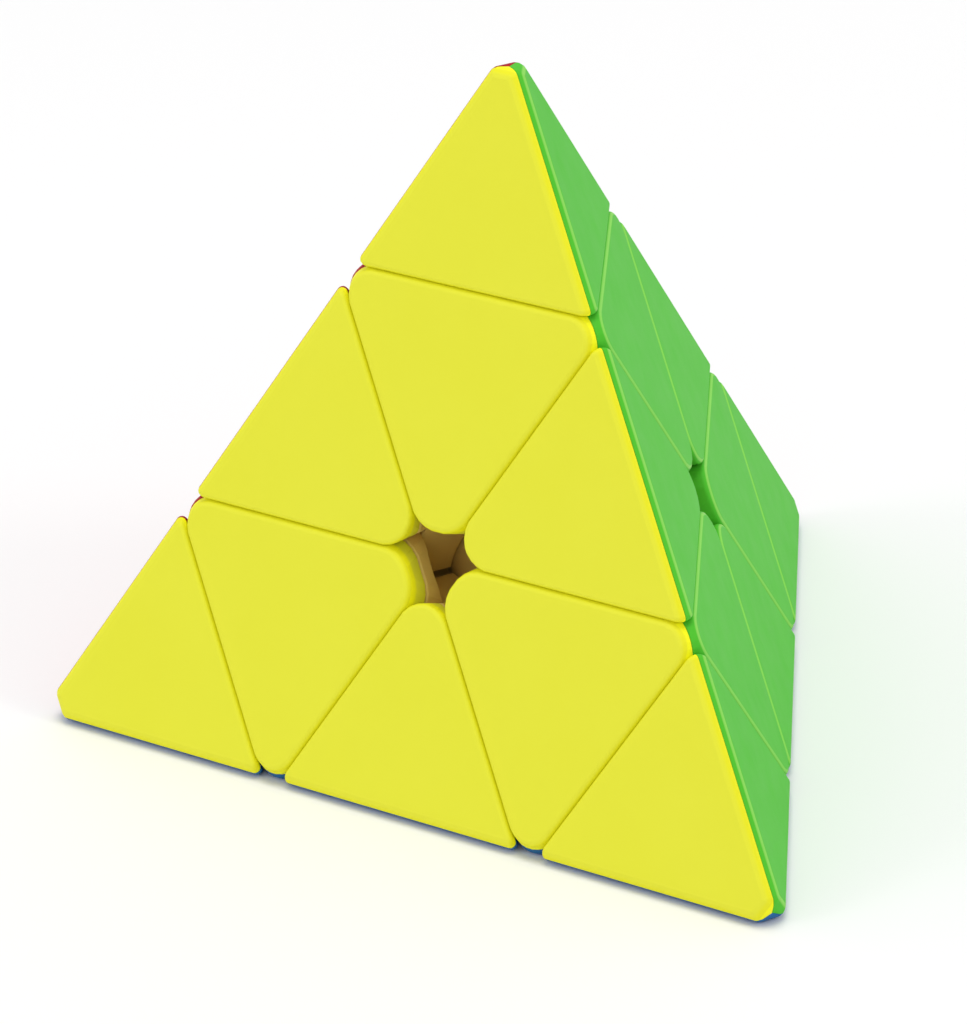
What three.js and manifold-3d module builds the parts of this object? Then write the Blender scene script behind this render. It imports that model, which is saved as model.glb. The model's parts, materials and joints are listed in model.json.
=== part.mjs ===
// Pyramid twisty puzzle: a four-sided pyramid with four turning layers and four turning tips.
// Millimetres, +Z up. The origin is the pivot centre, where the four turning axes meet.
import * as THREE from 'three';
import { ConvexGeometry } from 'three/addons/geometries/ConvexGeometry.js';
import { mergeVertices } from 'three/addons/utils/BufferGeometryUtils.js';
import Module from 'manifold-3d';

const wasm = await Module();
wasm.setup();

// Driving dimensions
const OVERALL_EDGE = 98; // corner to corner, over the blunt tips
const EDGE_ROUND = 1.5; // along the six long edges and around the end of each tip
const TIP_LOSS = 4.35; // from the pyramid's sharp corner to the flat end of a tip
const SHARP_FILLET = 0.6; // where the tiles of tips and edge pieces turn down into a groove
const BLUNT_FILLET = 0.8; // the same on the axial pieces, whose sides lean outwards
const HOLE_ROUND = 4.05; // tile corners around the hole in the middle of each face
const CORNER_ROUND = 3.35; // corners of the axial tiles at the long edges
const GAP = 0.3; // clearance between neighbours
const WALL = 2; // thickness of the coloured shells
const SKIRT = 3; // how far a shell reaches down into the grooves
const BALL_RADIUS = 10; // centre ball of the core
const SHELL_RADIUS = 16; // the feet of the edge pieces end here, under the axial pieces
const FOOT_CLEARANCE = 0.3; // from a foot to each plane through the centre

// Pyramid measures that follow from them
const SHARP_EDGE =
  OVERALL_EDGE - 2 * EDGE_ROUND + Math.sqrt(3 / 2) * (TIP_LOSS + 2 * EDGE_ROUND);
const UNIT = (SHARP_EDGE * Math.sqrt(2 / 3)) / 12; // a twelfth of the pyramid's height
const FACE = 3 * UNIT; // from the centre to each face
const LAYER_CUT = 1.04 * UNIT; // from the centre to each layer's groove
const TIP_CUT = 5.08 * UNIT; // from the centre to each tip's groove

// Turning mechanism, measured along each axis from the centre
const POST_RADIUS = 3.3;
const POST_TOP = 18;
const PILOT_RADIUS = 1.5;
const SCREW_RADIUS = 1.2;
const SCREW_START = 11.5;
const SCREW_HEAD_RADIUS = 2.8;
const SCREW_HEAD_BASE = 28;
const SCREW_HEAD_HEIGHT = 2;
const FLANGE_RADIUS = 2.2;
const SEAT_HEIGHT = 20; // the spring stands on this ledge
const SEAT_HOLE = 1.6;
const BORE_RADIUS = 3.1;
const SPRING_RADIUS = 2.3;
const SPRING_WIRE = 0.35;
const SPRING_TURNS = 4;
const BOSS_RADIUS = 4.1; // the tip snaps over this boss
const BOSS_LIP = 4.5;
const COLLAR_RADIUS = 5.5; // the boss stands on this collar, between the shells
const BOSS_NECK = 1.8;
const BOSS_HEIGHT = 3.2;

// Smoothness of the curved surfaces
const ROUND_STEPS = 3;
const HOLE_STEPS = 5;
const LATHE_SIDES = 20;
const BALL_DETAIL = 4;
const WIRE_SIDES = 5;
const STEPS_PER_TURN = 9;

const PLASTIC = { roughness: 0.35, metalness: 0 };
const METAL = { roughness: 0.3, metalness: 1 };
const CREAM = '#e6dcc0';
const STEEL = '#b9bcc0';
const FACES = {
  front: { opposite: 'B', colour: '#e7e846' },
  right: { opposite: 'L', colour: '#6ec850' },
  left: { opposite: 'R', colour: '#d8344a' },
  bottom: { opposite: 'T', colour: '#2f7fc4' },
};

// Unit directions from the centre to the corners: Top, Left, Right and Back
function cornerDirection(azimuth) {
  const angle = THREE.MathUtils.degToRad(azimuth);
  const reach = Math.sqrt(8) / 3;
  return new THREE.Vector3(reach * Math.cos(angle), reach * Math.sin(angle), -1 / 3);
}
const CORNERS = {
  T: new THREE.Vector3(0, 0, 1),
  L: cornerDirection(210),
  R: cornerDirection(330),
  B: cornerDirection(90),
};
const LETTERS = Object.keys(CORNERS);
const EDGES = ['TL', 'TR', 'TB', 'LR', 'RB', 'BL'];

const part = new THREE.Group();
part.name = 'pyramid_twisty_puzzle';

// Half spaces: a plane keeps the points whose distance along its normal is at most its limit

function below(letter, limit) {
  return { normal: CORNERS[letter].clone(), limit };
}

function above(letter, limit) {
  return { normal: CORNERS[letter].clone().negate(), limit: -limit };
}

// Planes that round the edge between two planes, touching a cylinder of the given radius
function roundEdge(a, b, radius, steps) {
  const angle = a.normal.angleTo(b.normal);
  const planes = [];
  for (let i = 1; i < steps; i++) {
    const fromA = Math.sin(angle * (1 - i / steps)) / Math.sin(angle);
    const fromB = Math.sin((angle * i) / steps) / Math.sin(angle);
    const normal = a.normal.clone().multiplyScalar(fromA).addScaledVector(b.normal, fromB);
    const limit = fromA * (a.limit - radius) + fromB * (b.limit - radius) + radius;
    planes.push({ normal, limit });
  }
  return planes;
}

function inset(planes, distance) {
  return planes.map(({ normal, limit }) => ({ normal, limit: limit - distance }));
}

function commonPoint(a, b, c) {
  const cross = new THREE.Vector3().crossVectors(b.normal, c.normal);
  const volume = a.normal.dot(cross);
  if (Math.abs(volume) < 1e-6) return null;
  const point = cross.multiplyScalar(a.limit);
  point.addScaledVector(new THREE.Vector3().crossVectors(c.normal, a.normal), b.limit);
  point.addScaledVector(new THREE.Vector3().crossVectors(a.normal, b.normal), c.limit);
  return point.divideScalar(volume);
}

// The corner points of the convex body that a list of planes encloses
function cornerPoints(planes) {
  const points = [];
  const isNew = (point) => points.every((other) => other.distanceTo(point) > 1e-4);
  const isInside = (point) => planes.every((p) => p.normal.dot(point) < p.limit + 1e-6);
  for (let i = 0; i < planes.length; i++) {
    for (let j = i + 1; j < planes.length; j++) {
      for (let k = j + 1; k < planes.length; k++) {
        const point = commonPoint(planes[i], planes[j], planes[k]);
        if (point && isInside(point) && isNew(point)) points.push(point);
      }
    }
  }
  return points;
}

// Solids

function toSolid(geometry) {
  const bare = geometry.index ? geometry.clone() : geometry;
  for (const name of Object.keys(bare.attributes)) {
    if (name !== 'position') bare.deleteAttribute(name);
  }
  const merged = mergeVertices(bare, 1e-5);
  const mesh = new wasm.Mesh({
    numProp: 3,
    vertProperties: new Float32Array(merged.attributes.position.array),
    triVerts: new Uint32Array(merged.index.array),
  });
  return new wasm.Manifold(mesh);
}

function toGeometry(solid) {
  const mesh = solid.getMesh();
  const geometry = new THREE.BufferGeometry();
  geometry.setAttribute('position', new THREE.BufferAttribute(mesh.vertProperties, 3));
  geometry.setIndex(new THREE.BufferAttribute(mesh.triVerts, 1));
  geometry.computeVertexNormals();
  return geometry;
}

function convexSolid(planes) {
  return toSolid(new ConvexGeometry(cornerPoints(planes)));
}

function ball(radius) {
  return toSolid(new THREE.IcosahedronGeometry(radius, BALL_DETAIL));
}

// A body of revolution about a corner axis, from points of radius and distance along the axis
function turned(profile, axis) {
  const points = profile.map(([radius, height]) => new THREE.Vector2(radius, height));
  const geometry = new THREE.LatheGeometry(points, LATHE_SIDES);
  const turn = new THREE.Quaternion().setFromUnitVectors(new THREE.Vector3(0, 1, 0), axis);
  geometry.applyQuaternion(turn);
  return toSolid(geometry);
}

function rod(radius, from, to, axis) {
  return turned([[0, from], [radius, from], [radius, to], [0, to]], axis);
}

// The three or two tetrahedron faces that a piece shows, named as in FACES
function facesShown(corners) {
  return Object.keys(FACES).filter((face) => !corners.includes(FACES[face].opposite));
}

function facePlane(face) {
  return above(FACES[face].opposite, -FACE);
}

function longEdgePlanes(corners) {
  const planes = [];
  const shown = facesShown(corners);
  for (let i = 0; i < shown.length; i++) {
    for (let j = i + 1; j < shown.length; j++) {
      planes.push(...roundEdge(facePlane(shown[i]), facePlane(shown[j]), EDGE_ROUND, ROUND_STEPS));
    }
  }
  return planes;
}

// Outer forms, as planes: the sides in the grooves, the faces, and the rounded corners between

// The flat end of a tip and the rounding around it
function cornerPlanes(letter) {
  const axis = CORNERS[letter];
  const end = below(letter, 9 * UNIT - TIP_LOSS);
  const centres = cornerPoints(inset([end, ...facesShown(letter).map(facePlane)], EDGE_ROUND));
  const others = LETTERS.filter((other) => other !== letter).map((other) => CORNERS[other]);
  const overFaces = others.map((other) => axis.clone().sub(other));
  const overEdges = others.map((other) => axis.clone().multiplyScalar(2).add(other));
  return [axis.clone(), ...overFaces, ...overEdges].map((direction) => {
    const normal = direction.normalize();
    const reach = Math.max(...centres.map((centre) => normal.dot(centre)));
    return { normal, limit: reach + EDGE_ROUND };
  });
}

// The plane upright on a face, through the line where a leaning plane meets that face, and the
// slope of the lean
function upright({ normal, limit }, face) {
  const outward = facePlane(face).normal;
  const lean = normal.dot(outward);
  const level = normal.clone().addScaledVector(outward, -lean);
  const length = level.length();
  level.divideScalar(length);
  return { normal: level, limit: (limit - lean * FACE) / length, slope: lean / length };
}

// Planes that round the corner of a tile at the hole in the middle of its face. The middle ones
// are upright on the face; the others lean more and more, as the two walls beside them do.
function holeCorner(a, b, face) {
  const walls = [upright(a, face), upright(b, face)];
  const outward = facePlane(face).normal;
  return roundEdge(...walls, HOLE_ROUND, HOLE_STEPS).map(({ normal, limit }, i) => {
    const slope = walls[0].slope * Math.abs(1 - (2 * (i + 1)) / HOLE_STEPS);
    const leaning = normal.clone().addScaledVector(outward, slope);
    const length = leaning.length();
    return { normal: leaning.divideScalar(length), limit: (limit + slope * FACE) / length };
  });
}

function tipForm(letter) {
  const sides = [above(letter, TIP_CUT + GAP / 2)];
  const faces = facesShown(letter).map(facePlane);
  const rounds = [...longEdgePlanes(letter), ...cornerPlanes(letter)];
  return { sides, faces, rounds, fillet: SHARP_FILLET };
}

function axialForm(letter) {
  const others = LETTERS.filter((other) => other !== letter);
  const top = below(letter, TIP_CUT - GAP / 2);
  const sideOf = (other) => below(other, LAYER_CUT - GAP / 2);
  const sides = others.map(sideOf);
  const rounds = longEdgePlanes(letter);
  for (const side of sides) rounds.push(...roundEdge(top, side, CORNER_ROUND, ROUND_STEPS));
  const shown = facesShown(letter);
  for (const face of shown) {
    const [a, b] = others.filter((other) => other !== FACES[face].opposite);
    rounds.push(...holeCorner(sideOf(a), sideOf(b), face));
  }
  const bottom = above(letter, LAYER_CUT + GAP / 2);
  const faces = shown.map(facePlane);
  return { sides: [top, ...sides, bottom], faces, rounds, fillet: BLUNT_FILLET };
}

function edgeForm(pair) {
  const sides = [...pair].map((letter) => above(letter, LAYER_CUT + GAP / 2));
  const shown = facesShown(pair);
  const corners = shown.flatMap((face) => holeCorner(...sides, face));
  const rounds = [...longEdgePlanes(pair), ...corners];
  return { sides, faces: shown.map(facePlane), rounds, fillet: SHARP_FILLET };
}

// Fillet planes between each face and each side
function fillets({ sides, faces, fillet }) {
  return faces.flatMap((face) => sides.flatMap((side) => roundEdge(face, side, fillet, 2)));
}

// Keeps the part of a piece that is nearer to one face than to the piece's other faces
function nearestTo(face, shown) {
  const own = CORNERS[FACES[face].opposite];
  return shown
    .filter((other) => other !== face)
    .map((other) => {
      const normal = own.clone().sub(CORNERS[FACES[other].opposite]).normalize();
      return { normal, limit: -GAP / 2 };
    });
}

function addMesh(name, solid, colour, finish) {
  const material = new THREE.MeshStandardMaterial({ color: colour, ...finish });
  const mesh = new THREE.Mesh(toGeometry(solid), material);
  mesh.name = name;
  part.add(mesh);
}

function allPlanes({ sides, faces, rounds }) {
  return [...sides, ...faces, ...rounds];
}

// One coloured shell for each face that a piece shows
function addShells(kind, label, form, hollow) {
  const outer = [...allPlanes(form), ...fillets(form)];
  const shown = facesShown(label);
  for (const face of shown) {
    const skirt = below(FACES[face].opposite, -FACE + SKIRT);
    const cap = convexSolid([...outer, skirt, ...nearestTo(face, shown)]).subtract(hollow);
    addMesh(`${kind}_shell_${label}_${face}`, cap, FACES[face].colour, PLASTIC);
  }
}

// The inner plastic of a piece: a plug inside the shells on a base below their skirts
function innerBody(form) {
  const plug = convexSolid(inset(allPlanes(form), WALL + GAP));
  const base = convexSolid([...form.sides, ...inset(form.faces, SKIRT + GAP), ...form.rounds]);
  return plug.add(base);
}

function addTip(letter) {
  const axis = CORNERS[letter];
  const form = tipForm(letter);
  const walls = [...form.faces, ...form.rounds];
  const hollow = convexSolid([...inset(walls, WALL), above(letter, TIP_CUT - WALL)]);
  addShells('tip', letter, form, hollow);
  const floor = TIP_CUT - WALL;
  const lipBase = TIP_CUT + BOSS_NECK - GAP;
  const socketTop = TIP_CUT + BOSS_HEIGHT + GAP;
  const socket = turned(
    [
      [0, floor],
      [BOSS_RADIUS + GAP, floor],
      [BOSS_RADIUS + GAP, lipBase],
      [BOSS_LIP + GAP, lipBase],
      [BOSS_LIP + GAP, socketTop],
      [0, socketTop],
    ],
    axis,
  );
  const body = convexSolid([...form.sides, ...inset(walls, WALL + GAP)]).subtract(socket);
  addMesh(`tip_body_${letter}`, body, CREAM, PLASTIC);
}

function addAxial(letter) {
  const axis = CORNERS[letter];
  const form = axialForm(letter);
  const roomForCollar = rod(COLLAR_RADIUS + GAP, SEAT_HEIGHT, TIP_CUT, axis);
  const hollow = convexSolid(inset(allPlanes(form), WALL)).add(roomForCollar);
  addShells('axial', letter, form, hollow);
  const bossBase = TIP_CUT - WALL;
  const bossTop = TIP_CUT + BOSS_HEIGHT;
  const boss = turned(
    [
      [0, bossBase],
      [BOSS_RADIUS, bossBase],
      [BOSS_RADIUS, TIP_CUT + BOSS_NECK],
      [BOSS_LIP, TIP_CUT + BOSS_NECK],
      [BOSS_LIP, bossTop],
      [0, bossTop],
    ],
    axis,
  );
  const collar = rod(COLLAR_RADIUS, SEAT_HEIGHT, TIP_CUT - GAP / 2, axis);
  const body = innerBody(form)
    .add(collar)
    .add(boss)
    .subtract(ball(SHELL_RADIUS + GAP))
    .subtract(rod(POST_RADIUS + GAP, 0, POST_TOP + GAP, axis))
    .subtract(rod(SEAT_HOLE, POST_TOP, SEAT_HEIGHT, axis))
    .subtract(rod(BORE_RADIUS, SEAT_HEIGHT, bossTop + WALL, axis));
  addMesh(`axial_body_${letter}`, body, CREAM, PLASTIC);
}

function addEdge(pair) {
  const form = edgeForm(pair);
  addShells('edge', pair, form, convexSolid(inset(allPlanes(form), WALL)));
  const own = [...pair];
  const others = LETTERS.filter((letter) => !own.includes(letter));
  const outward = CORNERS[own[0]].clone().add(CORNERS[own[1]]).normalize();
  const footPlanes = [
    ...own.map((letter) => above(letter, FOOT_CLEARANCE)),
    ...others.map((letter) => below(letter, -FOOT_CLEARANCE)),
    { normal: outward, limit: SHELL_RADIUS + WALL },
  ];
  const foot = convexSolid(footPlanes)
    .intersect(ball(SHELL_RADIUS))
    .subtract(ball(BALL_RADIUS + GAP));
  addMesh(`edge_body_${pair}`, innerBody(form).add(foot), CREAM, PLASTIC);
}

function addCore() {
  let core = ball(BALL_RADIUS);
  for (const letter of LETTERS) core = core.add(rod(POST_RADIUS, 0, POST_TOP, CORNERS[letter]));
  for (const letter of LETTERS) {
    core = core.subtract(rod(PILOT_RADIUS, SCREW_START - GAP, POST_TOP + GAP, CORNERS[letter]));
  }
  addMesh('core', core, CREAM, PLASTIC);
}

// A screw with a flange that holds the spring in place
function addScrew(letter) {
  const headTop = SCREW_HEAD_BASE + SCREW_HEAD_HEIGHT;
  const slotFloor = headTop - SCREW_HEAD_HEIGHT / 2;
  const screw = turned(
    [
      [0, SCREW_START],
      [SCREW_RADIUS, SCREW_START + SCREW_RADIUS],
      [SCREW_RADIUS, SCREW_HEAD_BASE],
      [SCREW_HEAD_RADIUS, SCREW_HEAD_BASE],
      [SCREW_HEAD_RADIUS, slotFloor],
      [FLANGE_RADIUS, headTop],
      [0, headTop],
    ],
    CORNERS[letter],
  );
  addMesh(`screw_${letter}`, screw, STEEL, METAL);
}

class Helix extends THREE.Curve {
  getPoint(t, target = new THREE.Vector3()) {
    const angle = 2 * Math.PI * SPRING_TURNS * t;
    const start = SEAT_HEIGHT + GAP + SPRING_WIRE;
    const end = SCREW_HEAD_BASE - GAP - SPRING_WIRE;
    const height = start + (end - start) * t;
    return target.set(SPRING_RADIUS * Math.cos(angle), height, SPRING_RADIUS * Math.sin(angle));
  }
}

function addSpring(letter) {
  const section = new THREE.Shape();
  for (let i = 0; i < WIRE_SIDES; i++) {
    const angle = (2 * Math.PI * i) / WIRE_SIDES;
    const point = [SPRING_WIRE * Math.cos(angle), SPRING_WIRE * Math.sin(angle)];
    if (i === 0) section.moveTo(...point);
    else section.lineTo(...point);
  }
  section.closePath();
  const geometry = new THREE.ExtrudeGeometry(section, {
    steps: STEPS_PER_TURN * SPRING_TURNS,
    extrudePath: new Helix(),
    bevelEnabled: false,
  });
  const up = new THREE.Vector3(0, 1, 0);
  geometry.applyQuaternion(new THREE.Quaternion().setFromUnitVectors(up, CORNERS[letter]));
  addMesh(`spring_${letter}`, toSolid(geometry), STEEL, METAL);
}

addCore();
for (const letter of LETTERS) {
  addScrew(letter);
  addSpring(letter);
  addAxial(letter);
  addTip(letter);
}
for (const pair of EDGES) addEdge(pair);

export default part;
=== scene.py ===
"""Looks of the pyramid twisty puzzle: fine shells, inner plastic, screws, springs and the studio."""

import json
import math
from collections import namedtuple
from itertools import combinations, permutations, product

import bmesh
import bpy
import numpy as np
from mathutils import Matrix, Vector


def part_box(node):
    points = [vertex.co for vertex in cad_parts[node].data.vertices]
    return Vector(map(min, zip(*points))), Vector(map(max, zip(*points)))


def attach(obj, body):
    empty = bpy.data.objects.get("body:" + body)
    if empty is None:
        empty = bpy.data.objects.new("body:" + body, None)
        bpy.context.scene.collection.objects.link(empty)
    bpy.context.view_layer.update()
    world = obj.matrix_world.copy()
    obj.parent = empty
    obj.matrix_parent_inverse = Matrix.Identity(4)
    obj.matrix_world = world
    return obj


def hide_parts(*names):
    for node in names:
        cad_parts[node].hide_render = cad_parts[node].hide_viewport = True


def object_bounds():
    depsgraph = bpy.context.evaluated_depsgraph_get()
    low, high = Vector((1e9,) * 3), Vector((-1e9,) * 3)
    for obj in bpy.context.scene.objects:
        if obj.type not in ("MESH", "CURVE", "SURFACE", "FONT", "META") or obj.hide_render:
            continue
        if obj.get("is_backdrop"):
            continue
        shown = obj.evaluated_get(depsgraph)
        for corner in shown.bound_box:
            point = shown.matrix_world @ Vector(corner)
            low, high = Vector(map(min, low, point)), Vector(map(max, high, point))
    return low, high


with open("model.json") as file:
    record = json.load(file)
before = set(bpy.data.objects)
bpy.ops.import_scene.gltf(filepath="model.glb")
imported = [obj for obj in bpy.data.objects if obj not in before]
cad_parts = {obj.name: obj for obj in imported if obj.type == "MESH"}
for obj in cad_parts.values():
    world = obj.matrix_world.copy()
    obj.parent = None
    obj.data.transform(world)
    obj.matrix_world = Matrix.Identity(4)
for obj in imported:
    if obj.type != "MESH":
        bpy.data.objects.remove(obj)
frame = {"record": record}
CAD_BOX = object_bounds()

MM = 0.001


def low(node, axis=2):
    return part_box(node)[0][axis]


def high(node, axis=2):
    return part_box(node)[1][axis]


# Measures of the frame, in metres from the pivot centre
FACE = -CAD_BOX[0].z
TIP_END = CAD_BOX[1].z
LAYER_CUT = (low("edge_shell_TL_front") + high("axial_shell_L_front")) / 2
TIP_CUT = (low("tip_shell_T_front") + high("axial_shell_T_front")) / 2
GAP = low("tip_shell_T_front") - high("axial_shell_T_front")
SKIRT = high("axial_shell_L_bottom") + FACE
WALL = high("tip_shell_L_bottom") + FACE
BALL_RADIUS = -low("core")
POST_TOP = high("core")
SCREW_START = low("screw_T")
SCREW_TOP = high("screw_T")
SCREW_HEAD_RADIUS = high("screw_T", 0)
SPRING_LOW = low("spring_T")
SPRING_HIGH = high("spring_T")
SPRING_OUTER = high("spring_T", 0)
BOSS_TOP = high("axial_body_T")

# Measures of the looks
EDGE_ROUND = 1.5 * MM
SHARP_FILLET = 0.6 * MM
BLUNT_FILLET = 0.8 * MM
HOLE_ROUND = 4.05 * MM
CORNER_ROUND = 3.35 * MM
TILE_GAP = 0.02 * MM
SEAM = 0.05 * MM
SEAM_BEVEL = 0.07 * MM
INNER_BEVEL = 0.3 * MM
FLOOR_DROP = 0.05 * MM
SHELL_RADIUS = 16 * MM
FOOT_CLEARANCE = 0.3 * MM
POST_RADIUS = 3.3 * MM
PILOT_RADIUS = 1.5 * MM
SCREW_RADIUS = 1.2 * MM
SCREW_HEAD_HEIGHT = 2 * MM
THREAD_PITCH = 0.7 * MM
SEAT_HEIGHT = 20 * MM
SEAT_HOLE = 1.6 * MM
BORE_RADIUS = 3.1 * MM
WIRE_RADIUS = 0.35 * MM
SPRING_TURNS = 6
COLLAR_RADIUS = 5.5 * MM
BOSS_RADIUS = 4.1 * MM
BOSS_LIP = 4.5 * MM
BOSS_NECK = 1.8 * MM
SCREW_BEVEL = 0.06 * MM
CORE_BEVEL = 0.15 * MM

# Depths below a face between which its painted rim tones show: a thin painted highlight line,
# painted shade along the rounded rim, and painted light deeper in the grooves that lifts their shade
HIGHLIGHT_LINE_DEPTHS = (0.01 * MM, 0.28 * MM)
RIM_SHADE_DEPTHS = (0.08 * MM, 1.6 * MM)
GROOVE_LIGHT_DEPTHS = (0.52 * MM, 1.6 * MM)

# Fineness of the curved surfaces
ROUND_STEPS = 8
EDGE_STEPS = 6
END_STEPS = 4
ARC_STEP = math.radians(11)
FILLET_BALL = 3
SPHERE_DETAIL = 5
LATHE_SIDES = 64
PILOT_SIDES = 32
SCREW_SIDES = 48
SPRING_STEPS = 24

# Angles between faces: under the first they count as one flat, over the second as an edge to bevel,
# and under the third they are shaded smooth
FLAT_ANGLE = math.radians(0.3)
BEVEL_ANGLE = math.radians(48)
SMOOTH_ANGLE = math.radians(35)
SCREW_SMOOTH_ANGLE = math.radians(40)

# Tolerances for points that lie on a plane, in metres
ON_PLANE = 2e-8
INSIDE = 1e-9

# Camera, fitted to the outlines and grooves of the puzzle as the photograph shows them
CAMERA_PLACE = Vector((319.4, -463.0, 284.4)) * MM
CAMERA_AIM = Vector((-5.4, -1.6, 4.1)) * MM
CAMERA_ROLL = math.radians(-2.95)
CAMERA_LENS = 193.6
CAMERA_SENSOR = 36

Form = namedtuple("Form", "sides faces rounds fillet")
FACES = {"front": "B", "right": "L", "left": "R", "bottom": "T"}
EDGES = ("TL", "TR", "TB", "LR", "RB", "BL")


def corner_direction(azimuth):
    reach = math.sqrt(8) / 3
    angle = math.radians(azimuth)
    return np.array([reach * math.cos(angle), reach * math.sin(angle), -1 / 3])


CORNERS = {
    "T": np.array([0.0, 0.0, 1.0]),
    "L": corner_direction(210),
    "R": corner_direction(330),
    "B": corner_direction(90),
}


# Half spaces: a plane (normal, limit) keeps points whose distance along the normal is within limit


def below(letter, limit):
    return CORNERS[letter], limit


def above(letter, limit):
    return -CORNERS[letter], -limit


def unit(vector):
    return vector / np.linalg.norm(vector)


def arc(a, b, steps):
    """Directions strictly between two directions, evenly spaced, with their shares of a and b."""
    angle = math.acos(np.clip(a @ b, -1, 1))
    for i in range(1, steps):
        from_a = math.sin(angle * (1 - i / steps)) / math.sin(angle)
        from_b = math.sin(angle * i / steps) / math.sin(angle)
        yield from_a * a + from_b * b, from_a, from_b


def round_edge(a, b, radius, steps=ROUND_STEPS):
    """Planes that round the edge between two planes, touching a cylinder."""
    for normal, from_a, from_b in arc(a[0], b[0], steps):
        yield normal, from_a * (a[1] - radius) + from_b * (b[1] - radius) + radius


def inset(planes, distance):
    return [(normal, limit - distance) for normal, limit in planes]


def corner_points(planes):
    """The corner points of the convex body that the planes enclose."""
    normals = np.array([normal for normal, _ in planes])
    limits = np.array([limit for _, limit in planes])
    triples = np.array(list(combinations(range(len(planes)), 3)))
    matrices = normals[triples]
    usable = np.abs(np.linalg.det(matrices)) > 1e-6
    triples, matrices = triples[usable], matrices[usable]
    points = np.linalg.solve(matrices, limits[triples][..., None])[..., 0]
    inside = (points @ normals.T <= limits + INSIDE).all(axis=1)
    return np.unique(np.round(points[inside], 8), axis=0)


def touching(points, plane):
    return set(np.flatnonzero(np.abs(points @ plane[0] - plane[1]) < ON_PLANE))


def rounding_directions(points, planes):
    """Directions in which a ball rolls over a convex body: its faces, edges and corners."""
    directions = [normal for normal, _ in planes]
    on_plane = [touching(points, plane) for plane in planes]
    for i, j in combinations(range(len(planes)), 2):
        if len(on_plane[i] & on_plane[j]) < 2:
            continue
        a, b = planes[i][0], planes[j][0]
        steps = math.ceil(math.acos(np.clip(a @ b, -1, 1)) / ARC_STEP)
        directions += [direction for direction, _, _ in arc(a, b, steps)]
    ico = bmesh.new()
    bmesh.ops.create_icosphere(ico, subdivisions=FILLET_BALL, radius=1)
    directions += [np.array(v.co) for v in ico.verts]
    ico.free()
    return np.array(directions)


def rounded_points(planes, radius):
    """Points on the surface of a convex body whose edges are all filleted."""
    inner = inset(planes, radius)
    points = corner_points(inner)
    directions = rounding_directions(points, inner)
    reach = points @ directions.T
    rows, columns = np.nonzero(reach > reach.max(axis=0) - 1e-8)
    return points[rows] + radius * directions[columns]


# Meshes


def hull(points):
    bm = bmesh.new()
    for point in points:
        bm.verts.new(point)
    result = bmesh.ops.convex_hull(bm, input=bm.verts)
    unused = {v for v in result["geom_interior"] if isinstance(v, bmesh.types.BMVert)}
    unused |= {v for v in bm.verts if not v.link_faces}
    bmesh.ops.delete(bm, geom=list(unused), context="VERTS")
    bmesh.ops.dissolve_limit(bm, angle_limit=FLAT_ANGLE, verts=bm.verts, edges=bm.edges)
    return bm


def convex(planes, fillet=0.0):
    planes = list(planes)
    return hull(rounded_points(planes, fillet) if fillet else corner_points(planes))


def cut(bm, planes):
    """Cuts a convex mesh by planes and closes each cut."""
    for normal, limit in planes:
        geometry = bm.verts[:] + bm.edges[:] + bm.faces[:]
        point = Vector(normal) * limit / float(normal @ normal)
        result = bmesh.ops.bisect_plane(
            bm, geom=geometry, dist=1e-8, plane_co=point, plane_no=Vector(normal), clear_outer=True
        )
        edges = [e for e in result["geom_cut"] if isinstance(e, bmesh.types.BMEdge)]
        bmesh.ops.holes_fill(bm, edges=edges, sides=0)
    return bm


def lathe(profile, axis, sides=LATHE_SIDES):
    """A body of revolution about a direction from the centre, from (radius, height) points."""
    bm = bmesh.new()
    verts = [bm.verts.new((radius, 0, height)) for radius, height in profile]
    edges = [bm.edges.new(pair) for pair in zip(verts, verts[1:])]
    bmesh.ops.spin(
        bm, geom=verts + edges, cent=(0, 0, 0), axis=(0, 0, 1), angle=2 * math.pi, steps=sides
    )
    bmesh.ops.remove_doubles(bm, verts=bm.verts, dist=1e-7)
    bmesh.ops.recalc_face_normals(bm, faces=bm.faces)
    turn = Vector((0, 0, 1)).rotation_difference(Vector(axis))
    bmesh.ops.rotate(bm, verts=bm.verts, matrix=turn.to_matrix())
    return bm


def rod(radius, start, end, axis, sides=LATHE_SIDES):
    return lathe([(0, start), (radius, start), (radius, end), (0, end)], axis, sides)


def sphere(radius):
    bm = bmesh.new()
    bmesh.ops.create_icosphere(bm, subdivisions=SPHERE_DETAIL, radius=radius)
    return bm


def to_object(bm, name="tool"):
    mesh = bpy.data.meshes.new(name)
    bmesh.ops.recalc_face_normals(bm, faces=bm.faces)
    bm.to_mesh(mesh)
    bm.free()
    thing = bpy.data.objects.new(name, mesh)
    bpy.context.scene.collection.objects.link(thing)
    return thing


def evaluated(thing):
    """The object's mesh with its modifiers applied; the object itself is removed."""
    graph = bpy.context.evaluated_depsgraph_get()
    mesh = bpy.data.meshes.new_from_object(thing.evaluated_get(graph))
    bpy.data.objects.remove(thing)
    return mesh


def combine(base, *steps):
    """Joins solids to a base or cuts them out, from (operation, mesh) steps."""
    thing = to_object(base)
    tools = []
    for operation, bm in steps:
        tool = to_object(bm)
        modifier = thing.modifiers.new("step", "BOOLEAN")
        modifier.operation = operation
        modifier.solver = "MANIFOLD"
        modifier.object = tool
        tools.append(tool)
    mesh = evaluated(thing)
    for tool in tools:
        bpy.data.objects.remove(tool)
    return mesh


def combined(base, *steps):
    """As combine, but gives a bmesh to build on."""
    bm = bmesh.new()
    bm.from_mesh(combine(base, *steps))
    return bm


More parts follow.
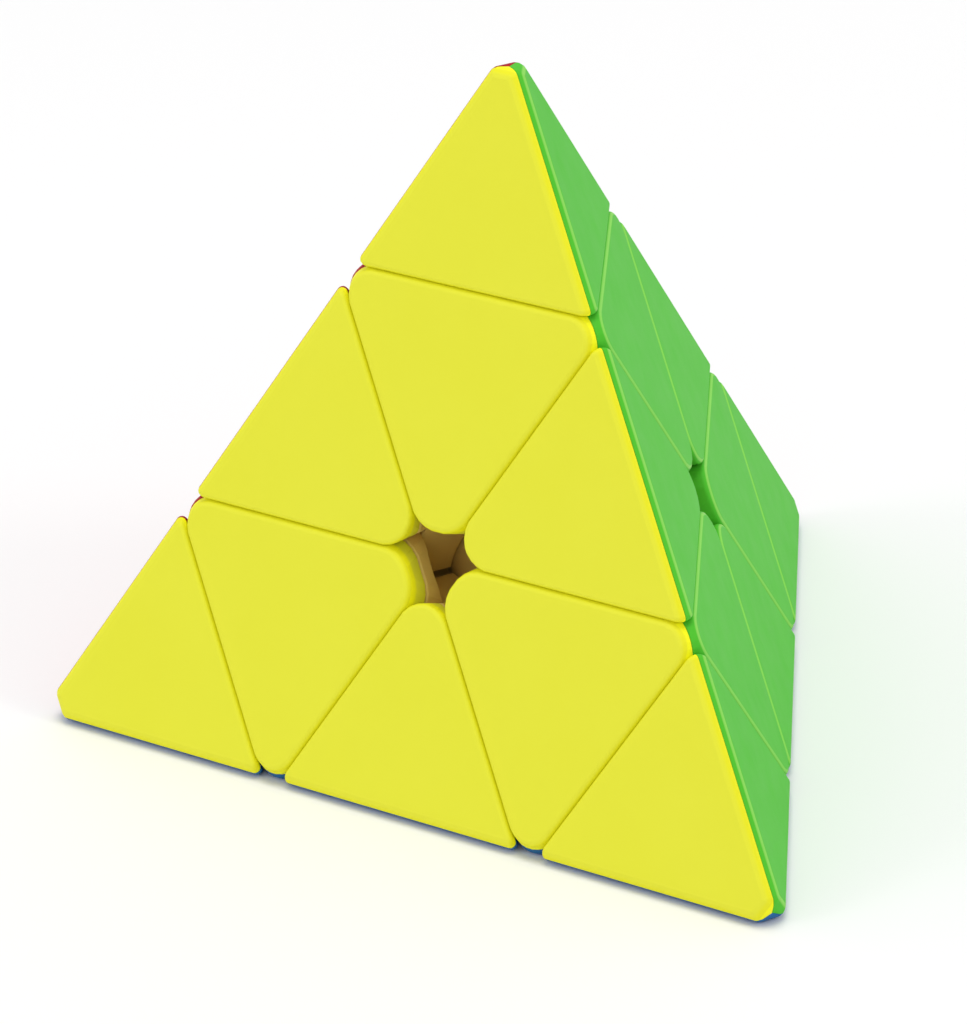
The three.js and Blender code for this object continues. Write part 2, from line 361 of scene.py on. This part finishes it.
def finished(mesh, bevel, smooth_angle=SMOOTH_ANGLE):
    """Softens a mesh's sharp edges and shades the rest smooth."""
    thing = bpy.data.objects.new("piece", mesh)
    bpy.context.scene.collection.objects.link(thing)
    modifier = thing.modifiers.new("soft_edges", "BEVEL")
    modifier.width = bevel
    modifier.segments = 2
    modifier.limit_method = "ANGLE"
    modifier.angle_limit = BEVEL_ANGLE
    modifier.use_clamp_overlap = True
    mesh = evaluated(thing)
    mesh.shade_smooth()
    mesh.set_sharp_from_angle(angle=smooth_angle)
    return mesh


def turned(mesh, mapping):
    """A copy of a mesh, turned so that each named corner goes to its partner."""
    start = np.column_stack([CORNERS[a] for a in mapping])
    end = np.column_stack([CORNERS[b] for b in mapping.values()])
    matrix = Matrix((end @ np.linalg.inv(start)).tolist())
    copy = mesh.copy()
    copy.transform(matrix.to_4x4())
    return copy


def even_mapping(**fixed):
    """The turn of the pyramid that takes each given corner to the one named."""
    for images in permutations("TLRB"):
        mapping = dict(zip("TLRB", images))
        order = np.array([CORNERS[images["TLRB".index(c)]] for c in "TLR"])
        turns = np.linalg.det(order) * np.linalg.det([CORNERS[c] for c in "TLR"]) > 0
        if turns and all(mapping[a] == b for a, b in fixed.items()):
            return {corner: mapping[corner] for corner in "TLR"}
    raise ValueError(f"no turn takes {fixed}")


# Forms of the pieces: their sides in the grooves, their faces, and the rounds between


def faces_shown(corners):
    return [face for face, opposite in FACES.items() if opposite not in corners]


def face_plane(face):
    return above(FACES[face], -FACE)


def long_edges(corners):
    planes = []
    for a, b in combinations(faces_shown(corners), 2):
        planes += round_edge(face_plane(a), face_plane(b), EDGE_ROUND, EDGE_STEPS)
    return planes


def tip_end(letter):
    """Planes of the flat end of a tip and of the rounding around it."""
    end = below(letter, TIP_END)
    faces = [face_plane(face) for face in faces_shown(letter)]
    centres = corner_points(inset([end, *faces], EDGE_ROUND))
    shares = [(i, j) for i, j in product(range(END_STEPS), repeat=2) if i + j <= END_STEPS]
    planes = []
    for (a, _), (b, _) in combinations(faces, 2):
        for i, j in shares:
            direction = unit((END_STEPS - i - j) * end[0] + i * a + j * b)
            planes.append((direction, (centres @ direction).max() + EDGE_ROUND))
    return planes


def upright(plane, face):
    """The plane upright on a face, through the line where a leaning plane meets that face."""
    normal, limit = plane
    outward = -CORNERS[FACES[face]]
    lean = normal @ outward
    level = normal - lean * outward
    length = np.linalg.norm(level)
    return level / length, (limit - lean * FACE) / length


def hole_corner(a, b, face):
    """Planes that round the corner of a tile at the hole in the middle of its face.

    The middle ones are upright on the face; the others lean more and more, as the walls do.
    """
    outward = -CORNERS[FACES[face]]
    lean = a[0] @ outward
    slope = lean / math.sqrt(1 - lean**2)
    planes = []
    for i, plane in enumerate(round_edge(upright(a, face), upright(b, face), HOLE_ROUND), 1):
        share = slope * abs(1 - 2 * i / ROUND_STEPS)
        leaning = plane[0] + share * outward
        length = np.linalg.norm(leaning)
        planes.append((leaning / length, (plane[1] + share * FACE) / length))
    return planes


def tip_form(letter):
    sides = [above(letter, TIP_CUT + TILE_GAP / 2)]
    faces = [face_plane(face) for face in faces_shown(letter)]
    return Form(sides, faces, [*long_edges(letter), *tip_end(letter)], SHARP_FILLET)


def axial_form(letter):
    top = below(letter, TIP_CUT - TILE_GAP / 2)
    sides = {c: below(c, LAYER_CUT - TILE_GAP / 2) for c in CORNERS if c != letter}
    rounds = long_edges(letter)
    for side in sides.values():
        rounds += round_edge(top, side, CORNER_ROUND)
    shown = faces_shown(letter)
    for face in shown:
        rounds += hole_corner(*[side for c, side in sides.items() if c != FACES[face]], face)
    bottom = above(letter, LAYER_CUT + TILE_GAP / 2)
    faces = [face_plane(face) for face in shown]
    return Form([top, *sides.values(), bottom], faces, rounds, BLUNT_FILLET)


def edge_form(pair):
    sides = [above(letter, LAYER_CUT + TILE_GAP / 2) for letter in pair]
    shown = faces_shown(pair)
    rounds = long_edges(pair)
    for face in shown:
        rounds += hole_corner(*sides, face)
    return Form(sides, [face_plane(face) for face in shown], rounds, SHARP_FILLET)


def all_planes(form):
    return [*form.sides, *form.faces, *form.rounds]


def nearest_to(face, shown):
    """Planes that keep the part of a piece nearer to one face than to its other faces."""
    own = CORNERS[FACES[face]]
    others = [CORNERS[FACES[other]] for other in shown if other != face]
    return [(unit(own - other), -SEAM / 2) for other in others]


def shell_mesh(label, form, hollow):
    """The shell of a piece on the front face."""
    outer = convex(all_planes(form), form.fillet)
    skirt = below(FACES["front"], -FACE + SKIRT)
    cut(outer, [skirt, *nearest_to("front", faces_shown(label))])
    return finished(combine(outer, ("DIFFERENCE", hollow)), SEAM_BEVEL)


def tip_shell():
    form = tip_form("T")
    hollow = convex([*inset([*form.faces, *form.rounds], WALL), above("T", TIP_CUT - WALL)])
    return shell_mesh("T", form, hollow)


def axial_shell():
    form = axial_form("T")
    room_for_collar = rod(COLLAR_RADIUS + GAP, SEAT_HEIGHT, TIP_CUT, CORNERS["T"])
    hollow = combined(convex(inset(all_planes(form), WALL)), ("UNION", room_for_collar))
    return shell_mesh("T", form, hollow)


def edge_shell():
    form = edge_form("TL")
    return shell_mesh("TL", form, convex(inset(all_planes(form), WALL)))


def inner_body(form):
    """A plug inside the shells on a base below their skirts."""
    plug = convex(inset(all_planes(form), WALL + GAP))
    base = convex([*form.sides, *inset(form.faces, SKIRT + GAP), *form.rounds], INNER_BEVEL)
    return combined(base, ("UNION", plug))


def tip_body():
    axis = CORNERS["T"]
    form = tip_form("T")
    walls = inset([*form.faces, *form.rounds], WALL + GAP)
    floor = TIP_CUT - WALL
    lip_base = TIP_CUT + BOSS_NECK - GAP
    socket = lathe(
        [
            (0, floor),
            (BOSS_RADIUS + GAP, floor),
            (BOSS_RADIUS + GAP, lip_base),
            (BOSS_LIP + GAP, lip_base),
            (BOSS_LIP + GAP, BOSS_TOP + GAP),
            (0, BOSS_TOP + GAP),
        ],
        axis,
    )
    block = convex([*form.sides, *walls])
    return finished(combine(block, ("DIFFERENCE", socket)), INNER_BEVEL)


def axial_body():
    axis = CORNERS["T"]
    boss_base = TIP_CUT - WALL
    boss = lathe(
        [
            (0, boss_base),
            (BOSS_RADIUS, boss_base),
            (BOSS_RADIUS, TIP_CUT + BOSS_NECK),
            (BOSS_LIP, TIP_CUT + BOSS_NECK),
            (BOSS_LIP, BOSS_TOP),
            (0, BOSS_TOP),
        ],
        axis,
    )
    mesh = combine(
        inner_body(axial_form("T")),
        ("UNION", rod(COLLAR_RADIUS, SEAT_HEIGHT, TIP_CUT - GAP / 2, axis)),
        ("UNION", boss),
        ("DIFFERENCE", sphere(SHELL_RADIUS + GAP)),
        ("DIFFERENCE", rod(POST_RADIUS + GAP, 0, POST_TOP + GAP, axis)),
        ("DIFFERENCE", rod(SEAT_HOLE, POST_TOP, SEAT_HEIGHT + GAP, axis)),
        ("DIFFERENCE", rod(BORE_RADIUS, SEAT_HEIGHT, BOSS_TOP + WALL, axis)),
    )
    return finished(mesh, INNER_BEVEL)


def edge_body():
    outward = unit(CORNERS["T"] + CORNERS["L"])
    foot_planes = [
        above("T", FOOT_CLEARANCE),
        above("L", FOOT_CLEARANCE),
        below("R", -FOOT_CLEARANCE),
        below("B", -FOOT_CLEARANCE),
        (outward, SHELL_RADIUS + WALL),
    ]
    foot = combined(
        convex(foot_planes),
        ("INTERSECT", sphere(SHELL_RADIUS)),
        ("DIFFERENCE", sphere(BALL_RADIUS + GAP)),
    )
    return finished(combine(inner_body(edge_form("TL")), ("UNION", foot)), INNER_BEVEL)


def core_mesh():
    steps = []
    for axis in CORNERS.values():
        flare = [(0, 0), (POST_RADIUS, 0), (POST_RADIUS, POST_TOP - INNER_BEVEL)]
        flare += [(POST_RADIUS - INNER_BEVEL, POST_TOP), (0, POST_TOP)]
        steps.append(("UNION", lathe(flare, axis)))
    for axis in CORNERS.values():
        pilot = rod(PILOT_RADIUS, SCREW_START - GAP, POST_TOP + GAP, axis, PILOT_SIDES)
        steps.append(("DIFFERENCE", pilot))
    return finished(combine(sphere(BALL_RADIUS), *steps), CORE_BEVEL)


def screw_head(base):
    """Profile of the screw's head: a straight rim under a low dome."""
    rim_top = base + 0.6 * MM
    dome_base, dome_height, dome_radius = base + 0.7 * MM, 1.3 * MM, SCREW_HEAD_RADIUS * 0.85
    dome = [
        (dome_radius * math.cos(angle), dome_base + dome_height * math.sin(angle))
        for angle in np.linspace(0, math.pi / 2 * 0.96, 7)
    ]
    rim = [(SCREW_HEAD_RADIUS, base), (SCREW_HEAD_RADIUS, rim_top)]
    return [*rim, *dome, (0, dome[-1][1])]


def cross_recess():
    """Two blades that cut the cross into the screw's head."""
    width, length, depth = 0.5 * MM, 2.9 * MM, 2.4 * MM
    for size in ((length, width, depth), (width, length, depth)):
        blade = bmesh.new()
        bmesh.ops.create_cube(blade, size=1)
        bmesh.ops.scale(blade, vec=size, verts=blade.verts)
        bmesh.ops.translate(blade, vec=(0, 0, SCREW_TOP), verts=blade.verts)
        yield "DIFFERENCE", blade


def screw_mesh():
    """A machine screw with a ridged shank, a flanged head and a cross recess."""
    valley, half_pitch = SCREW_RADIUS * 0.8, THREAD_PITCH / 2
    profile = [(0, SCREW_START), (SCREW_RADIUS * 0.6, SCREW_START)]
    height = SCREW_START + THREAD_PITCH
    while height < SEAT_HEIGHT:
        profile += [(valley, height), (SCREW_RADIUS, height + half_pitch)]
        height += THREAD_PITCH
    head_base = SCREW_TOP - SCREW_HEAD_HEIGHT
    profile += [(SCREW_RADIUS, head_base), *screw_head(head_base)]
    screw = lathe(profile, CORNERS["T"], SCREW_SIDES)
    return finished(combine(screw, *cross_recess()), SCREW_BEVEL, SCREW_SMOOTH_ANGLE)


def spring_mesh():
    """A coil spring with closed end turns."""
    curve = bpy.data.curves.new("spring", "CURVE")
    curve.dimensions = "3D"
    curve.bevel_depth = WIRE_RADIUS
    curve.bevel_resolution = 3
    curve.use_fill_caps = True
    count = SPRING_TURNS * SPRING_STEPS + 1
    spline = curve.splines.new("POLY")
    spline.points.add(count - 1)
    radius = SPRING_OUTER - WIRE_RADIUS
    start, end = SPRING_LOW + WIRE_RADIUS, SPRING_HIGH - WIRE_RADIUS
    closed = WIRE_RADIUS * 2.05
    for i in range(count):
        turns = i / SPRING_STEPS
        if turns < 1:
            height = start + closed * turns
        elif turns > SPRING_TURNS - 1:
            height = end - closed * (SPRING_TURNS - turns)
        else:
            share = (turns - 1) / (SPRING_TURNS - 2)
            height = start + closed + (end - start - 2 * closed) * share
        angle = 2 * math.pi * turns
        spline.points[i].co = (radius * math.cos(angle), radius * math.sin(angle), height, 1)
    thing = bpy.data.objects.new("spring", curve)
    bpy.context.scene.collection.objects.link(thing)
    mesh = evaluated(thing)
    mesh.shade_smooth()
    return mesh


# Materials

# Scales of the noise, in waves for each metre, and the height of the grain
CLOUDS = 90
GLOSS_PATCHES = 260
PLATING = 700
SCRATCHES = 2600
GRAIN_DEPTH = 0.02 * MM

# How each painted rim tone (highlight, light, shade) comes and goes between its two depths: (share
# of the way, strength)
PAINTED_RIM_FADE = ((0, 0), (0.15, 1), (0.6, 1), (1, 0))


def node_material(name):
    material = bpy.data.materials.new(name)
    material.use_nodes = True
    nodes = material.node_tree.nodes
    return material, nodes, material.node_tree.links, nodes["Principled BSDF"]


def noise(nodes, links, scale, detail, coordinates):
    node = nodes.new("ShaderNodeTexNoise")
    node.inputs["Scale"].default_value = scale
    node.inputs["Detail"].default_value = detail
    links.new(coordinates.outputs["Object"], node.inputs["Vector"])
    return node


def scaled(nodes, links, source, low_value, high_value):
    """A factor from 0 to 1, scaled to run between two values."""
    node = nodes.new("ShaderNodeMapRange")
    node.inputs["To Min"].default_value = low_value
    node.inputs["To Max"].default_value = high_value
    links.new(source, node.inputs["Value"])
    return node.outputs["Result"]


def mixed(nodes, links, factor, first, second):
    """A mix of two colours, each given as a tuple or as a socket."""
    node = nodes.new("ShaderNodeMix")
    node.data_type = "RGBA"
    for name, colour in (("A", first), ("B", second)):
        if isinstance(colour, tuple):
            node.inputs[name].default_value = (*colour, 1)
        else:
            links.new(colour, node.inputs[name])
    links.new(factor, node.inputs["Factor"])
    return node.outputs["Result"]


def rim(nodes, links, coordinates, face, start, end):
    """Where the plastic turns down from a face, as a factor that is 1 between two depths: the mask
    for painted rim light and shade.
    """
    along = nodes.new("ShaderNodeVectorMath")
    along.operation = "DOT_PRODUCT"
    along.inputs[1].default_value = -CORNERS[FACES[face]]
    links.new(coordinates.outputs["Object"], along.inputs[0])
    depth = nodes.new("ShaderNodeMapRange")
    depth.inputs["From Min"].default_value = FACE - start
    depth.inputs["From Max"].default_value = FACE - end
    links.new(along.outputs["Value"], depth.inputs["Value"])
    band = nodes.new("ShaderNodeValToRGB")
    stops = band.color_ramp.elements
    while len(stops) < len(PAINTED_RIM_FADE):
        stops.new(0.5)
    for stop, (position, level) in zip(stops, PAINTED_RIM_FADE):
        stop.position = position
        stop.color = (level, level, level, 1)
    links.new(depth.outputs["Result"], band.inputs["Fac"])
    return band.outputs["Color"]


def plastic(name, light, dark, roughness, grain, bump, painted_rim_light_and_shade=()):
    """Moulded plastic: faint clouding of the colour, uneven gloss and a fine grain.

    A coloured shell also has painted light and shade along the rim of its face: painted highlights,
    painted light standing in for light that comes through the plastic and lifts the shade of the
    grooves, and painted shade on darker rims. Each entry is a face, a tone and the depths between
    which it shows.
    """
    material, nodes, links, shader = node_material(name)
    coordinates = nodes.new("ShaderNodeTexCoord")
    clouds = noise(nodes, links, CLOUDS, 3, coordinates)
    colour = mixed(nodes, links, scaled(nodes, links, clouds.outputs["Fac"], 0, 1), dark, light)
    for face, tone, depths in painted_rim_light_and_shade:
        colour = mixed(nodes, links, rim(nodes, links, coordinates, face, *depths), colour, tone)
    links.new(colour, shader.inputs["Base Color"])
    gloss = noise(nodes, links, GLOSS_PATCHES, 4, coordinates)
    links.new(
        scaled(nodes, links, gloss.outputs["Fac"], roughness * 0.85, roughness * 1.15),
        shader.inputs["Roughness"],
    )
    fine = noise(nodes, links, grain, 2, coordinates)
    bump_node = nodes.new("ShaderNodeBump")
    bump_node.inputs["Strength"].default_value = bump
    bump_node.inputs["Distance"].default_value = GRAIN_DEPTH
    links.new(fine.outputs["Fac"], bump_node.inputs["Height"])
    links.new(bump_node.outputs["Normal"], shader.inputs["Normal"])
    shader.inputs["IOR"].default_value = 1.5
    shader.inputs["Specular IOR Level"].default_value = 0.12
    return material


def steel(name, colour, roughness):
    """Plated steel with faint clouding and slightly uneven gloss."""
    material, nodes, links, shader = node_material(name)
    coordinates = nodes.new("ShaderNodeTexCoord")
    clouds = noise(nodes, links, PLATING, 3, coordinates)
    worn = tuple(channel * 0.8 for channel in colour)
    links.new(
        mixed(nodes, links, clouds.outputs["Fac"], worn, colour), shader.inputs["Base Color"]
    )
    scratches = noise(nodes, links, SCRATCHES, 5, coordinates)
    links.new(
        scaled(nodes, links, scratches.outputs["Fac"], roughness * 0.7, roughness * 1.3),
        shader.inputs["Roughness"],
    )
    shader.inputs["Metallic"].default_value = 1
    return material


SHELL_FINISH = {"roughness": 0.5, "grain": 2600, "bump": 0.25}
INNER_FINISH = {"roughness": 0.5, "grain": 3200, "bump": 0.4}
CORE_FINISH = {"roughness": 0.52, "grain": 3200, "bump": 0.4}
MATERIALS = {
    "shell_front": plastic(
        "yellow",
        (0.82, 0.82, 0.05),
        (0.80, 0.80, 0.04),
        painted_rim_light_and_shade=[
            # Painted shade: a more saturated yellow along the rounded rim. Painted light: a brighter
            # yellow deeper in the grooves, lifting their shade.
            ("front", (0.83, 0.81, 0.02), RIM_SHADE_DEPTHS),
            ("front", (0.96, 0.94, 0.012), GROOVE_LIGHT_DEPTHS),
        ],
        **SHELL_FINISH,
    ),
    "shell_right": plastic(
        "green",
        (0.085, 0.54, 0.03),
        (0.075, 0.51, 0.025),
        # Painted highlight: a thin pale green line where the face turns down into its rounded rim.
        painted_rim_light_and_shade=[("right", (0.25, 0.66, 0.10), HIGHLIGHT_LINE_DEPTHS)],
        **SHELL_FINISH,
    ),
    "shell_left": plastic(
        "red",
        (0.62, 0.022, 0.03),
        (0.58, 0.02, 0.027),
        # Painted shade: a darker red along the rim.
        painted_rim_light_and_shade=[("left", (0.36, 0.01, 0.014), RIM_SHADE_DEPTHS)],
        **SHELL_FINISH,
    ),
    "shell_bottom": plastic(
        "blue",
        (0.02, 0.18, 0.52),
        (0.017, 0.165, 0.48),
        # Painted shade: a darker blue along the rim.
        painted_rim_light_and_shade=[("bottom", (0.02, 0.13, 0.34), RIM_SHADE_DEPTHS)],
        **SHELL_FINISH,
    ),
    # The tan of the inner plastic is partly its own cream colour and partly painted yellow light
    # bounced from the shells into the hole.
    "inner_plastic": plastic("cream", (0.86, 0.63, 0.21), (0.83, 0.60, 0.19), **INNER_FINISH),
    "core_plastic": plastic("cream_core", (0.78, 0.57, 0.19), (0.75, 0.54, 0.17), **CORE_FINISH),
    "screw_steel": steel("zinc_plated", (0.62, 0.63, 0.65), 0.3),
    "spring_steel": steel("spring_wire", (0.5, 0.51, 0.53), 0.24),
}


# Pieces

BODY_OF = {n: b for b, nodes in frame["record"]["behaviour"]["bodies"].items() for n in nodes}
SLOT_OF = {s["node"]: s["material_slot"] for s in frame["record"]["subparts"]}


def place(node, mesh):
    """Puts a finished mesh in the place of a CAD node."""
    piece = bpy.data.objects.new(f"{node}_fine", mesh)
    bpy.context.scene.collection.objects.link(piece)
    mesh.materials.clear()
    mesh.materials.append(MATERIALS[SLOT_OF[node]])
    weighted = piece.modifiers.new("flat_faces", "WEIGHTED_NORMAL")
    weighted.keep_sharp = True
    weighted.weight = 100
    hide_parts(node)
    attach(piece, BODY_OF[node])


def place_axis_pieces():
    meshes = {
        "axial_body": axial_body(),
        "tip_body": tip_body(),
        "screw": screw_mesh(),
        "spring": spring_mesh(),
    }
    shells = {"tip": tip_shell(), "axial": axial_shell()}
    for letter in CORNERS:
        for kind, mesh in meshes.items():
            place(f"{kind}_{letter}", turned(mesh, even_mapping(T=letter)))
        for face in faces_shown(letter):
            mapping = even_mapping(T=letter, B=FACES[face])
            for kind, mesh in shells.items():
                place(f"{kind}_shell_{letter}_{face}", turned(mesh, mapping))


def edge_mapping(pair, face):
    """The turn that takes edge TL and the front face to another edge and face."""
    for ends in (pair, pair[::-1]):
        try:
            return even_mapping(T=ends[0], L=ends[1], B=FACES[face])
        except ValueError:
            continue
    raise ValueError(f"no turn for {pair} and {face}")


def place_edge_pieces():
    body, shell = edge_body(), edge_shell()
    for pair in EDGES:
        shown = faces_shown(pair)
        place(f"edge_body_{pair}", turned(body, edge_mapping(pair, shown[0])))
        for face in shown:
            place(f"edge_shell_{pair}_{face}", turned(shell, edge_mapping(pair, face)))


# Studio

FLOOR_HALF_WIDTH = 3
FLOOR_CLOUDS = 3
WORLD_STRENGTH = 0.72
# Each light's place and diameter in metres and its power in watts
LIGHTS = {
    "overhead": ((0.0, 0.1, 1.2), 0.7, 5),
    "left_softbox": ((-0.6, -0.8, 0.5), 0.4, 1.2),
    "right_softbox": ((0.9, 0.1, 0.6), 0.25, 1.2),
}


def add_floor():
    bm = bmesh.new()
    bmesh.ops.create_grid(bm, x_segments=1, y_segments=1, size=FLOOR_HALF_WIDTH)
    bmesh.ops.translate(bm, vec=(0, 0, -FACE - FLOOR_DROP), verts=bm.verts)
    floor = to_object(bm, "floor")
    material, nodes, links, shader = node_material("floor_white")
    tone = noise(nodes, links, FLOOR_CLOUDS, 2, nodes.new("ShaderNodeTexCoord"))
    paint = mixed(nodes, links, tone.outputs["Fac"], (0.9, 0.9, 0.9), (0.93, 0.93, 0.93))
    links.new(paint, shader.inputs["Base Color"])
    shader.inputs["Roughness"].default_value = 0.7
    floor.data.materials.append(material)
    floor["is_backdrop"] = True


def add_light(name, position, size, power):
    data = bpy.data.lights.new(name, "AREA")
    data.shape = "DISK"
    data.size = size
    data.energy = power
    light = bpy.data.objects.new(name, data)
    light.location = position
    light.rotation_euler = (-Vector(position)).to_track_quat("-Z", "Y").to_euler()
    bpy.context.scene.collection.objects.link(light)


def add_world(strength):
    world = bpy.data.worlds.new("studio")
    world.use_nodes = True
    background = world.node_tree.nodes["Background"]
    background.inputs["Color"].default_value = (1, 1, 1, 1)
    background.inputs["Strength"].default_value = strength
    bpy.context.scene.world = world


def add_camera():
    data = bpy.data.cameras.new("camera")
    data.lens = CAMERA_LENS
    data.sensor_width = CAMERA_SENSOR
    data.clip_start, data.clip_end = 0.01, 20
    camera = bpy.data.objects.new("camera", data)
    aim = (CAMERA_AIM - CAMERA_PLACE).to_track_quat("-Z", "Y")
    roll = Matrix.Rotation(CAMERA_ROLL, 3, "Z").to_quaternion()
    camera.rotation_mode = "QUATERNION"
    camera.rotation_quaternion = aim @ roll
    camera.location = CAMERA_PLACE
    bpy.context.scene.collection.objects.link(camera)
    bpy.context.scene.camera = camera


place("core", core_mesh())
place_axis_pieces()
place_edge_pieces()
add_floor()
add_world(WORLD_STRENGTH)
for light_name, light in LIGHTS.items():
    add_light(light_name, *light)
bpy.context.scene.view_settings.view_transform = "Standard"
add_camera()

visual_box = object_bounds()
boxes = {"cad": CAD_BOX, "visual": visual_box}
{name: [list(corner) for corner in box] for name, box in boxes.items()}
